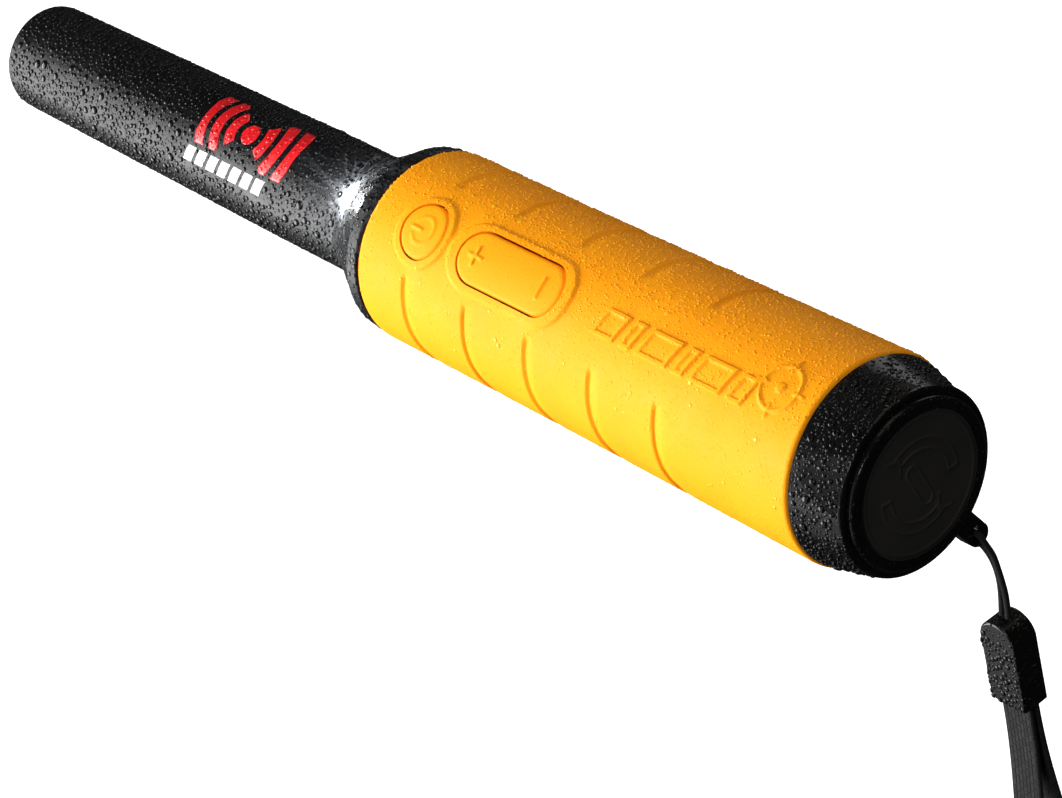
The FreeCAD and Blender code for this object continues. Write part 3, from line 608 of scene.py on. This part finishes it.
def add_grip():
    """The yellow sleeve: fine grid round the keys, a coarser one round the back."""
    xs = [-GRIP_HALF + t for t in (0, 0.02, 0.08, 0.18, 0.33, 0.52, 0.75, 1.0)]
    xs += spread(-GRIP_HALF + 1.3, GRIP_HALF - 0.8, GRID)
    xs += [GRIP_HALF - t for t in (0.6, 0.42, 0.28, 0.16, 0.07, 0.02, 0)]
    fine = math.radians(27)
    angles = spread(-fine, fine, GRID / UNROLL) + spread(fine, math.tau - fine, 0.9 / UNROLL)[1:]
    sleeve = unrolled_patch("grip_skin", xs, angles, window_edge, grip_radius, grip_foot, YELLOW, "handle")
    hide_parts("grip_sleeve")
    return sleeve


def symbol(x, across):
    """Key symbols, read with the tip up: power on the round key, plus and minus on the oblong one."""
    p, q = x - POWER_X, across
    out = math.hypot(p, q)
    gap = 0.6 if p < 0 and abs(q) < 1.0 else 0.0
    ring = max(abs(out - 2.5) - 0.3, gap)
    power = min(ring, max(abs(p + 1.6) - 1.5, abs(q) - 0.3))
    p = x - (ROCKER_X - 9.2)
    plus = min(max(abs(p) - 1.9, abs(q) - 0.33), max(abs(q) - 1.9, abs(p) - 0.33))
    p = x - (ROCKER_X + 8.6)
    minus = max(abs(q) - 2.1, abs(p) - 0.33)
    return step(min(power, plus, minus), 0.25, 0.28)


KEY_TOP, KEY_FOOT = 18.78, 17.12
KEY_ROUND = 0.9        # the rounding of a key's top edge, 0.75 times as deep as it is wide


def add_key(name, node_name, body, edge, low, high):
    """A soft key: a top with a rounded edge and its symbol, cut flat underneath."""
    def top(x, angle):
        depth = -edge(x, UNROLL * angle)
        rounding = KEY_ROUND - math.sqrt(max(KEY_ROUND ** 2 - (KEY_ROUND - min(depth, KEY_ROUND)) ** 2, 0))
        return KEY_TOP - rounding * 0.75 + symbol(x, UNROLL * angle)

    def foot(x, angle):
        across = math.sin(angle) * 18.0
        return on_handle(x, math.atan2(across, KEY_FOOT), math.hypot(KEY_FOOT, across))

    half = math.radians(19)
    xs, angles = spread(low, high, GRID), spread(-half, half, GRID / UNROLL)
    key = unrolled_patch(name, xs, angles, edge, top, foot, YELLOW, body)
    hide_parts(node_name)


grip = add_grip()
add_key("power_key_skin", "power_key", "power_button",
        lambda x, s: power_edge(x, s, 5.44), POWER_X - 6, POWER_X + 6)
add_key("rocker_skin", "sensitivity_rocker", "rocker",
        lambda x, s: rocker_edge(x, s, 13.64, 5.14), ROCKER_X - 14.2, ROCKER_X + 14.2)


# ---------------------------------------------------------------- print on the probe's barrel

BARREL = 11.5                          # radius at which the barrel is unrolled
TIP_X, TIP_RADIUS = -184.2, 10.85
TAPER_END, TUBE_RADIUS = -94.8, 11.55
PRINT_LIFT, PRINT_THICK = 0.035, 0.05


def barrel_radius(x):
    """Outside radius of the probe's tube, along X: a slight taper, then straight."""
    if x < TAPER_END:
        return TIP_RADIUS + (TUBE_RADIUS - TIP_RADIUS) * (x - TIP_X) / (TAPER_END - TIP_X)
    return TUBE_RADIUS


def wrap_print(name, edge, low, high, right, left, made):
    """A thin printed patch wrapped on the barrel. edge(x, across) is negative inside it."""
    pitch = 0.35
    xs = spread(low, high, pitch)
    angles = spread(math.radians(right), math.radians(left), pitch / BARREL)
    verts, outside = [], []
    for x in xs:
        for angle in angles:
            px, pa, gone = trimmed(edge, x, angle, BARREL, pitch * 0.6)
            outside.append(gone)
            verts.append(on_handle(px, pa, barrel_radius(px) + PRINT_LIFT))
    columns = len(angles)
    faces = []
    for i in range(len(xs) - 1):
        for k in range(columns - 1):
            a = i * columns + k
            corners = [a, a + 1, a + columns + 1, a + columns]
            kept = tuple(c for c in corners if not outside[c])
            if len(kept) > 2:
                faces.append(kept)
    mesh = bpy.data.meshes.new(name)
    mesh.from_pydata(verts, [], faces)
    tidy_mesh(mesh)
    printed = placed(name, mesh, made, "handle")
    thick = printed.modifiers.new("film", "SOLIDIFY")
    thick.thickness = PRINT_THICK * MM
    thick.offset = 0


MARK_X, MARK_ACROSS = -104.6, 2.5


def signal_mark(x, across):
    """Concentric search arcs spreading from a dot, towards the tip and away from it."""
    p, q = x - MARK_X, across - MARK_ACROSS
    out = math.hypot(p, q)
    nearest = out - 2.2
    wedge = abs(q) - abs(p) * 0.8
    for radius in (5.2, 9.4, 13.6):
        arc = abs(out - radius) - 1.35
        nearest = min(nearest, max(arc, wedge * 0.78, abs(q) - 5.9))
    return nearest


def stripe_bar(x, across):
    """A plain bar of seven slanted stripes beside the mark."""
    lean = x - 0.45 * (across + 6.0) + 108
    stripe = abs((lean + 1.85) % 3.7 - 1.85) - 1.35
    return max(stripe, abs(lean) - 12.8, abs(across + 6.0) - 1.6)


wrap_print("signal_mark", signal_mark, -119, -90, -34, 62, RED_PRINT)
wrap_print("stripe_bar", stripe_bar, -122.5, -94, -40, -18, WHITE_PRINT)


# ---------------------------------------------------------------- cap

def on_cap(x, y, z):
    """A point of the cap's end in metres: millimetres along the handle, to the key side and to the keys."""
    return (Vector((x, 0, 0)) + KEY_SIDE * y + KEY_UP * z) * MM


DISC_TOP, DISC_FOOT = 68.4, 67.95
DISC_RADIUS = 13.07
MARK_RING = 7.4        # middle radius of the marks round the disc


def disc_relief(y, z):
    """The moulded end: two turning arrows round the middle, a coin-width mark and a fine outer ring."""
    out = math.hypot(y, z)
    turn = math.degrees(math.atan2(z, y))
    height = ridge(out - 12.2, 0.35, 0.16)
    inner = abs(out - MARK_RING)
    for middle in (20, 200):
        sector = abs((turn - middle + 180) % 360 - 180) / 65
        if sector < 0.92:
            height = max(height, ridge(abs(inner - 0.95), 0.26, 0.2))
        elif sector < 1:
            height = max(height, step(inner - 1.15, 0.3, 0.2))
    for sign in (1, -1):
        p, q = sign * y - 0.2, sign * z - MARK_RING
        tip = max(abs(q) - (2.3 - abs(p + 1.0) * 0.95) if p > -1.2 else 9, -p - 1.0)
        height = max(height, ridge(tip, 0.28, 0.2))
    slot_edge = to_segment(z * 0.96 + y * 0.28, y * 0.96 - z * 0.28, 3.2) - 1.25
    height = max(height, ridge(slot_edge, 0.3, 0.22))
    return height


def add_disc():
    """The cap's matt end, a relief on a round grid."""
    rings, count = 65, 240
    turns = [math.tau * k / count for k in range(count)]
    verts, faces = [on_cap(DISC_TOP + disc_relief(0, 0), 0, 0)], []
    for i in range(1, rings + 1):
        r = DISC_RADIUS * i / rings
        for turn in turns:
            y, z = r * math.cos(turn), r * math.sin(turn)
            verts.append(on_cap(DISC_TOP + disc_relief(y, z), y, z))
    for turn in turns:
        verts.append(on_cap(DISC_FOOT, DISC_RADIUS * math.cos(turn), DISC_RADIUS * math.sin(turn)))
    for k in range(count):
        faces.append((0, 1 + k, 1 + (k + 1) % count))
    for i in range(rings):
        a, b = 1 + i * count, 1 + (i + 1) * count
        for k in range(count):
            n = (k + 1) % count
            faces.append((a + k, b + k, b + n, a + n))
    faces.append(tuple(1 + rings * count + k for k in range(count)))
    mesh = bpy.data.meshes.new("disc_face")
    mesh.from_pydata(verts, [], faces)
    tidy_mesh(mesh)
    mesh.set_sharp_from_angle(angle=math.radians(50))
    disc = placed("disc_face", mesh, DISC, "cap")
    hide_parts("cap_end_disc")


add_disc()


# ---------------------------------------------------------------- water

DROP_STEPS = 6
SEEN_FROM = 34         # a radius outside everything on the handle, where rays start
LENS_CLEAR = 3.4       # no drop lies nearer the torch than this
BEYOND_TIP = -190


def add_drops(name, body, spots, made):
    """One mesh of water drops. A spot is (point, outward normal, radius, flatness), in metres."""
    verts, faces = [], []
    for point, out, radius, flat in spots:
        out = out.normalized()
        side = out.orthogonal().normalized()
        across = out.cross(side)
        around = 14 if radius > 0.4 * MM else 8
        squeeze = 1 + 0.07 * math.sin(point.x * 9001 + point.y * 7001)
        base = len(verts)
        for i in range(DROP_STEPS):
            t = i / DROP_STEPS
            r = radius * math.cos(t * math.pi / 2) ** 0.8
            h = radius * flat * math.sin(t * math.pi / 2) - (0.06 * radius if i == 0 else 0)
            for k in range(around):
                turn = math.tau * k / around
                place = point + side * (r * math.cos(turn) * squeeze)
                place += across * (r * math.sin(turn) / squeeze)
                verts.append(place + out * h)
        verts.append(point + out * radius * flat)
        for i in range(DROP_STEPS - 1):
            for k in range(around):
                n = (k + 1) % around
                a, b = base + i * around, base + (i + 1) * around
                faces.append((a + k, a + n, b + n, b + k))
        last = base + (DROP_STEPS - 1) * around
        for k in range(around):
            faces.append((last + k, last + (k + 1) % around, base + DROP_STEPS * around))
        faces.append(tuple(base + k for k in reversed(range(around))))
    mesh = bpy.data.meshes.new(name)
    mesh.from_pydata(verts, [], faces)
    mesh.shade_smooth()
    placed(name, mesh, made, body)


NEAR = [(i, j, k) for i in (-1, 0, 1) for j in (-1, 0, 1) for k in (-1, 0, 1)]


def scatter(rng, count, small, large, power, take, kept, flat):
    """Adds drop places, none touching another or a kept one. take(rng) gives (point, normal) or None."""
    cell = 2 * MM
    grid, spots = {}, list(kept)
    for point, out, size, rise in kept:
        grid.setdefault(tuple(int(c // cell) for c in point), []).append((point, size))
    sizes = [small + (large - small) * rng.random() ** power for _ in range(count)]
    for size in sorted(sizes, reverse=True):
        found = take(rng)
        if found is None:
            continue
        point, out = found
        key = tuple(int(c // cell) for c in point)
        near = (grid.get((key[0] + i, key[1] + j, key[2] + k), ()) for i, j, k in NEAR)
        if any((point - q).length < (size + r) * 1.03 for group in near for q, r in group):
            continue
        grid.setdefault(key, []).append((point, size))
        spots.append((point, out, size, rng.uniform(*flat)))
    return spots


def skin_of(piece):
    """A ray-castable copy of a piece as it stands at rest."""
    shown = piece.evaluated_get(bpy.context.evaluated_depsgraph_get())
    mesh = shown.to_mesh()
    verts = [piece.matrix_world @ v.co for v in mesh.vertices]
    faces = [tuple(face.vertices) for face in mesh.polygons]
    shown.to_mesh_clear()
    return BVHTree.FromPolygons(verts, faces)


def round_handle(skin, low, high, angles=(-180, 180)):
    """Places on a skin, met from outside along a random radius of the handle, clear of the torch."""
    lens = on_handle(TORCH[0], 0, TORCH[1])

    def take(rng):
        x, angle = rng.uniform(low, high), math.radians(rng.uniform(*angles))
        start = on_handle(x, angle, SEEN_FROM)
        aim = (on_handle(x, angle, 0) - start).normalized()
        point, out, face, far = skin.ray_cast(start, aim, 30 * MM)
        return (point, out) if point and (point - lens).length > LENS_CLEAR * MM else None
    return take


def on_tip(skin, reach):
    """Places on the flat tip of the tube."""
    def take(rng):
        turn, out = rng.uniform(0, math.tau), reach * math.sqrt(rng.random())
        start = on_handle(BEYOND_TIP, turn, out)
        point, normal, face, far = skin.ray_cast(start, Vector((1, 0, 0)), 20 * MM)
        return (point, normal) if point else None
    return take


def round_upright(skin, low, high, reach):
    """Places on the clamp, met from outside. Its +X face is nearly dry and its +Y side dry."""
    def take(rng):
        turn, z = rng.uniform(0, math.tau), rng.uniform(low, high)
        start = Vector((EYE_X + reach * math.cos(turn), LANYARD_Y + reach * math.sin(turn), z)) * MM
        aim = Vector((EYE_X, LANYARD_Y, z)) * MM - start
        point, out, face, far = skin.ray_cast(start, aim.normalized(), reach * MM)
        return (point, out) if point and out.y < 0.4 and (out.x < 0.6 or rng.random() < 0.08) else None
    return take


def unroll(point, radius):
    """A point of the handle as millimetres along X and round it from the key line."""
    angle = math.atan2(point.dot(KEY_SIDE), point.dot(KEY_UP))
    return point.x / MM, radius * angle


def layers(rng, *rows):
    """Drop places, layer on layer: count, radii in millimetres, bias to small, where, flatness."""
    spots = []
    for count, small, large, power, take, flat in rows:
        spots = scatter(rng, count, small * MM, large * MM, power, take, spots, flat)
    return spots


def wet_tube(rng):
    """Drops on the tube, coloured by what they lie on. None lies across an edge of the print."""
    skin = skin_of(NODES["probe_tube"])
    spots = layers(
        rng,
        (190, 0.50, 0.95, 1.8, round_handle(skin, -183, -73, (-72, 72)), (0.42, 0.56)),
        (5200, 0.26, 0.52, 1.6, round_handle(skin, -183, -73, (-78, 76)), (0.5, 0.66)),
        (13000, 0.12, 0.26, 1.4, round_handle(skin, -183, -73), (0.4, 0.6)),
        (2600, 0.12, 0.46, 1.7, round_handle(skin, -73, -57.8), (0.3, 0.45)),
        (900, 0.14, 0.6, 1.8, on_tip(skin, 9.8), (0.3, 0.45)),
    )
    on_red, on_white, on_black = [], [], []
    for spot in spots:
        x, across = unroll(spot[0], BARREL)
        red, white = signal_mark(x, across), stripe_bar(x, across)
        if min(abs(red), abs(white)) > spot[2] / MM:
            under = on_red if red < 0 else on_white if white < 0 else on_black
            under.append(spot)
    add_drops("tube_drops", "handle", on_black, WATER_DARK)
    add_drops("red_drops", "handle", on_red, WATER_RED)
    add_drops("white_drops", "handle", on_white, WATER_WHITE)


def wet_grip(rng):
    """Beads on the grip: proud and close on the KEY_SIDE flank, flatter and fewer elsewhere."""
    skin = skin_of(grip)
    beads = layers(
        rng,
        (70, 0.30, 0.5, 2.0, round_handle(skin, -57, 57, (-60, 90)), (0.26, 0.42)),
        (5600, 0.12, 0.25, 1.8, round_handle(skin, -57, 57, (18, 96)), (0.65, 0.9)),
        (1500, 0.10, 0.22, 1.8, round_handle(skin, -57, 57, (-8, 18)), (0.5, 0.7)),
        (900, 0.10, 0.20, 2.0, round_handle(skin, -57, 57, (-50, -8)), (0.4, 0.6)),
        (3000, 0.10, 0.24, 2.0, round_handle(skin, -57, 57, (96, 300)), (0.26, 0.42)),
    )
    add_drops("grip_beads", "handle", beads, WATER_YELLOW_PAINTED_HIGHLIGHT)


def wet_end(rng):
    """Drops on the cap and the clamp."""
    skin = skin_of(NODES["battery_cap"])
    beads = layers(
        rng,
        (70, 0.45, 0.8, 1.5, round_handle(skin, 57.8, 66.5), (0.42, 0.56)),
        (3000, 0.12, 0.44, 1.8, round_handle(skin, 57.8, 66.2), (0.45, 0.65)),
    )
    add_drops("cap_drops", "cap", beads, WATER_DARK)
    skin = skin_of(NODES["lanyard_clamp"])
    beads = layers(rng, (1000, 0.15, 0.55, 1.7, round_upright(skin, -55.6, -41, 20), (0.34, 0.5)))
    add_drops("clamp_drops", "strap", beads, WATER_DARK)


bpy.context.view_layer.update()
water = random.Random(41)
wet_tube(water)
wet_grip(water)
wet_end(water)


# ---------------------------------------------------------------- CAD pieces' finishes

DARK_PLASTIC = moulded("inner_black", (0.010, 0.010, 0.010), (0.022, 0.022, 0.022), 0.48, 0.1, 0.4, 1800)
GREY_PLASTIC = moulded("inner_grey", (0.10, 0.10, 0.105), (0.15, 0.15, 0.155), 0.5, 0.1, 0.4, 1800)
SEAL = moulded("seal_rubber", (0.012, 0.011, 0.011), (0.024, 0.023, 0.022), 0.66, 0.08, 0.5, 2400)
BOARD = moulded("board_laminate", (0.008, 0.075, 0.026), (0.014, 0.12, 0.042), 0.34, 0.08, 0.5, 1400,
                Coat_Weight=0.4, Coat_Roughness=0.15)
CHIP = moulded("chip_black", (0.014, 0.014, 0.015), (0.028, 0.028, 0.03), 0.55, 0.08, 0.5, 3000)
FERRITE = moulded("ferrite_grey", (0.032, 0.032, 0.035), (0.065, 0.065, 0.07), 0.6, 0.1, 0.8, 1600)
FOAM = moulded("foam_grey", (0.05, 0.05, 0.052), (0.12, 0.12, 0.125), 0.92, 0.05, 1.0, 900)
LEAD = moulded("lead_red", (0.36, 0.012, 0.010), (0.48, 0.02, 0.016), 0.4, 0.08, 0.3, 1500)
BATTERY = moulded("battery_case", (0.03, 0.05, 0.11), (0.05, 0.08, 0.16), 0.3, 0.08, 0.1, 1800,
                  Coat_Weight=0.4, Coat_Roughness=0.1)
FORMER = moulded("former_brown", (0.12, 0.055, 0.025), (0.18, 0.085, 0.04), 0.5, 0.08, 0.4, 1500)
STEEL = brushed("screw_steel", (0.56, 0.56, 0.57), 0.28)
NICKEL = brushed("snap_nickel", (0.66, 0.63, 0.58), 0.2)
BRASS = brushed("weight_brass", (0.62, 0.42, 0.16), 0.26)
CAN = brushed("capacitor_can", (0.62, 0.63, 0.66), 0.24)
FOIL = brushed("shield_foil", (0.72, 0.42, 0.28), 0.3, (60, 1, 60))
COPPER = wound("copper_wire", (0.72, 0.30, 0.12), 0.0004)
LENS = glowing("lens_lit", (0.86, 0.93, 1.0), 1.5)
LED = glowing("led_lit", (0.82, 0.92, 1.0), 3.0)

FINISHES = {
    "probe_tube": SHELL, "nose_seal_ring": SEAL, "handle_core": DARK_PLASTIC, "power_post": GREY_PLASTIC,
    "rocker_posts": GREY_PLASTIC, "key_switches": CHIP, "main_board": BOARD, "board_screws": STEEL,
    "microcontroller": CHIP, "amplifier_chips": CHIP, "capacitors": CAN, "board_sled": GREY_PLASTIC,
    "vibration_motor": STEEL, "motor_weight": BRASS, "piezo_sounder": DARK_PLASTIC, "battery_block": BATTERY,
    "battery_snaps": NICKEL, "snap_contacts": NICKEL, "contact_plate": BOARD, "torch_lens": LENS,
    "torch_led": LED, "ferrite_rod": FERRITE, "coil_former": FORMER, "transmit_winding": COPPER,
    "receive_winding": COPPER, "probe_shield": FOIL, "tip_cushion": FOAM, "battery_leads": LEAD,
    "coil_leads": LEAD, "battery_cap": CAP, "cap_seal_ring": SEAL, "battery_cushion": FOAM,
    "lanyard_clamp": CLAMP,
}
for node_name, finish in FINISHES.items():
    dress(node_name, finish)


# ---------------------------------------------------------------- floor and light

def lamp(name, place, aim, width, height, power, colour=(1, 1, 1)):
    """A soft rectangular light at place, facing aim."""
    data = bpy.data.lights.new(name, "AREA")
    data.shape = "RECTANGLE"
    data.size, data.size_y = width, height
    data.energy = power
    data.color = colour
    made = bpy.data.objects.new(name, data)
    made.location = place
    made.rotation_mode = "QUATERNION"
    made.rotation_quaternion = (Vector(aim) - Vector(place)).to_track_quat("-Z", "Y")
    bpy.context.scene.collection.objects.link(made)


FLOOR_Z, FLOOR_HALF = -0.212, 4


def add_studio():
    """A plain white floor, a soft key light low on the -Y side, and a dim room."""
    mesh = bpy.data.meshes.new("floor")
    corners = [(FLOOR_HALF * x, FLOOR_HALF * y, FLOOR_Z) for x, y in ((-1, -1), (1, -1), (1, 1), (-1, 1))]
    mesh.from_pydata(corners, [], [(0, 1, 2, 3)])
    floor = bpy.data.objects.new("floor", mesh)
    bpy.context.scene.collection.objects.link(floor)
    paper, tree, shader = material("paper", Roughness=0.9, Emission_Strength=0.62)
    place = coordinates(tree)
    tint = ramp(tree, noise(tree, place, 3, 4), [(0.3, 0.93), (0.7, 0.96)])
    tree.links.new(tint, shader.inputs["Base Color"])
    tree.links.new(tint, shader.inputs["Emission Color"])
    mesh.materials.append(paper)
    floor.visible_glossy = False
    floor.visible_diffuse = False

    lamp("key_light", Vector((-0.70, -0.71, -0.02)) * 0.9, (0, 0, -0.03), 0.7, 0.8, 24)
    lamp("soft_key", Vector((-0.45, -0.88, -0.15)) * 1.0, (0, 0, 0), 1.5, 1.5, 9.5)
    lamp("back_light", (-0.35, 0.75, 0.42), (0, 0, 0), 0.5, 0.4, 1.6)
    lamp("top_light", (0.2, 0.1, 1.1), (0, 0, 0), 0.8, 0.8, 3.5, (1.0, 0.9, 0.75))
    lamp("end_light", (0.55, -0.95, 0.75), (0.06, 0, 0), 0.3, 0.3, 5.0)

    torch = bpy.data.lights.new("torch_light", "POINT")
    torch.energy = 0.02
    torch.shadow_soft_size = 0.0012
    shine = bpy.data.objects.new("torch_light", torch)
    shine.location = on_handle(TORCH[0] - 5, 0, TORCH[1] + 3.4)
    bpy.context.scene.collection.objects.link(shine)

    world = bpy.data.worlds.new("room")
    world.use_nodes = True
    world.node_tree.nodes["Background"].inputs["Color"].default_value = (0.030, 0.031, 0.033, 1)
    world.node_tree.nodes["Background"].inputs["Strength"].default_value = 1.0
    bpy.context.scene.world = world
    bpy.context.scene.view_settings.view_transform = "Standard"
    bpy.context.scene.view_settings.look = "None"


add_studio()
